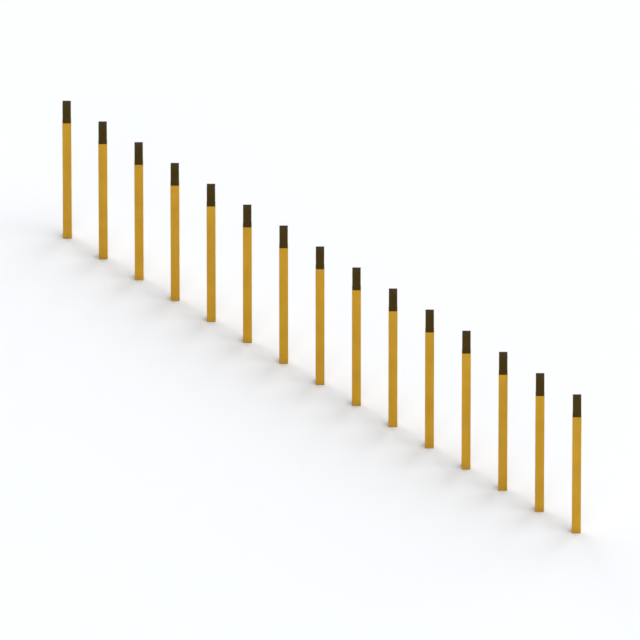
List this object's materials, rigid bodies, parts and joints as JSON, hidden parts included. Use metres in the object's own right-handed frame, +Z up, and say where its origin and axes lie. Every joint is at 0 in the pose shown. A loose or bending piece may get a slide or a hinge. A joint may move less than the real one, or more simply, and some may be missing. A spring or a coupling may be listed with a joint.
{
  "type": "weave poles",
  "caption": "Straight row of square dog weave poles with dark top caps, each a tube that lifts off a buried ground anchor.",
  "frame": {"origin": "the ground line at the axis of the middle pole; the anchors are buried below it", "axes": "+X along the row, +Y across it, +Z up; each pole's faces stand at 45 degrees to the row"},
  "size_m": [5.0886, 0.2446, 1.563],
  "materials": {
    "pole_paint": "satin golden yellow powder coat",
    "cap_plastic": "matt dark brown moulded plastic",
    "anchor_steel": "hot-dip galvanised",
    "screw_steel": "plain stainless"
  },
  "bodies": {
    "ground_anchors": {"ground_anchor_01": "anchor_steel", "ground_anchor_02": "anchor_steel", "ground_anchor_03": "anchor_steel", "ground_anchor_04": "anchor_steel", "ground_anchor_05": "anchor_steel", "ground_anchor_06": "anchor_steel", "ground_anchor_07": "anchor_steel", "ground_anchor_08": "anchor_steel", "ground_anchor_09": "anchor_steel", "ground_anchor_10": "anchor_steel", "ground_anchor_11": "anchor_steel", "ground_anchor_12": "anchor_steel", "ground_anchor_13": "anchor_steel", "ground_anchor_14": "anchor_steel", "ground_anchor_15": "anchor_steel"},
    "pole_01": {"pole_tube_01": "pole_paint", "top_cap_01": "cap_plastic", "clamp_screw_01": "screw_steel"},
    "pole_02": {"pole_tube_02": "pole_paint", "top_cap_02": "cap_plastic", "clamp_screw_02": "screw_steel"},
    "pole_03": {"pole_tube_03": "pole_paint", "top_cap_03": "cap_plastic", "clamp_screw_03": "screw_steel"},
    "pole_04": {"pole_tube_04": "pole_paint", "top_cap_04": "cap_plastic", "clamp_screw_04": "screw_steel"},
    "pole_05": {"pole_tube_05": "pole_paint", "top_cap_05": "cap_plastic", "clamp_screw_05": "screw_steel"},
    "pole_06": {"pole_tube_06": "pole_paint", "top_cap_06": "cap_plastic", "clamp_screw_06": "screw_steel"},
    "pole_07": {"pole_tube_07": "pole_paint", "top_cap_07": "cap_plastic", "clamp_screw_07": "screw_steel"},
    "pole_08": {"pole_tube_08": "pole_paint", "top_cap_08": "cap_plastic", "clamp_screw_08": "screw_steel"},
    "pole_09": {"pole_tube_09": "pole_paint", "top_cap_09": "cap_plastic", "clamp_screw_09": "screw_steel"},
    "pole_10": {"pole_tube_10": "pole_paint", "top_cap_10": "cap_plastic", "clamp_screw_10": "screw_steel"},
    "pole_11": {"pole_tube_11": "pole_paint", "top_cap_11": "cap_plastic", "clamp_screw_11": "screw_steel"},
    "pole_12": {"pole_tube_12": "pole_paint", "top_cap_12": "cap_plastic", "clamp_screw_12": "screw_steel"},
    "pole_13": {"pole_tube_13": "pole_paint", "top_cap_13": "cap_plastic", "clamp_screw_13": "screw_steel"},
    "pole_14": {"pole_tube_14": "pole_paint", "top_cap_14": "cap_plastic", "clamp_screw_14": "screw_steel"},
    "pole_15": {"pole_tube_15": "pole_paint", "top_cap_15": "cap_plastic", "clamp_screw_15": "screw_steel"}
  },
  "joints": [
    {"name": "pole_lift_01", "type": "slide", "parent": "ground_anchors", "child": "pole_01", "axis": [0, 0, 1], "range_m": [0, 0.18]},
    {"name": "pole_lift_02", "type": "slide", "parent": "ground_anchors", "child": "pole_02", "axis": [0, 0, 1], "range_m": [0, 0.18]},
    {"name": "pole_lift_03", "type": "slide", "parent": "ground_anchors", "child": "pole_03", "axis": [0, 0, 1], "range_m": [0, 0.18]},
    {"name": "pole_lift_04", "type": "slide", "parent": "ground_anchors", "child": "pole_04", "axis": [0, 0, 1], "range_m": [0, 0.18]},
    {"name": "pole_lift_05", "type": "slide", "parent": "ground_anchors", "child": "pole_05", "axis": [0, 0, 1], "range_m": [0, 0.18]},
    {"name": "pole_lift_06", "type": "slide", "parent": "ground_anchors", "child": "pole_06", "axis": [0, 0, 1], "range_m": [0, 0.18]},
    {"name": "pole_lift_07", "type": "slide", "parent": "ground_anchors", "child": "pole_07", "axis": [0, 0, 1], "range_m": [0, 0.18]},
    {"name": "pole_lift_08", "type": "slide", "parent": "ground_anchors", "child": "pole_08", "axis": [0, 0, 1], "range_m": [0, 0.18]},
    {"name": "pole_lift_09", "type": "slide", "parent": "ground_anchors", "child": "pole_09", "axis": [0, 0, 1], "range_m": [0, 0.18]},
    {"name": "pole_lift_10", "type": "slide", "parent": "ground_anchors", "child": "pole_10", "axis": [0, 0, 1], "range_m": [0, 0.18]},
    {"name": "pole_lift_11", "type": "slide", "parent": "ground_anchors", "child": "pole_11", "axis": [0, 0, 1], "range_m": [0, 0.18]},
    {"name": "pole_lift_12", "type": "slide", "parent": "ground_anchors", "child": "pole_12", "axis": [0, 0, 1], "range_m": [0, 0.18]},
    {"name": "pole_lift_13", "type": "slide", "parent": "ground_anchors", "child": "pole_13", "axis": [0, 0, 1], "range_m": [0, 0.18]},
    {"name": "pole_lift_14", "type": "slide", "parent": "ground_anchors", "child": "pole_14", "axis": [0, 0, 1], "range_m": [0, 0.18]},
    {"name": "pole_lift_15", "type": "slide", "parent": "ground_anchors", "child": "pole_15", "axis": [0, 0, 1], "range_m": [0, 0.18]}
  ]
}
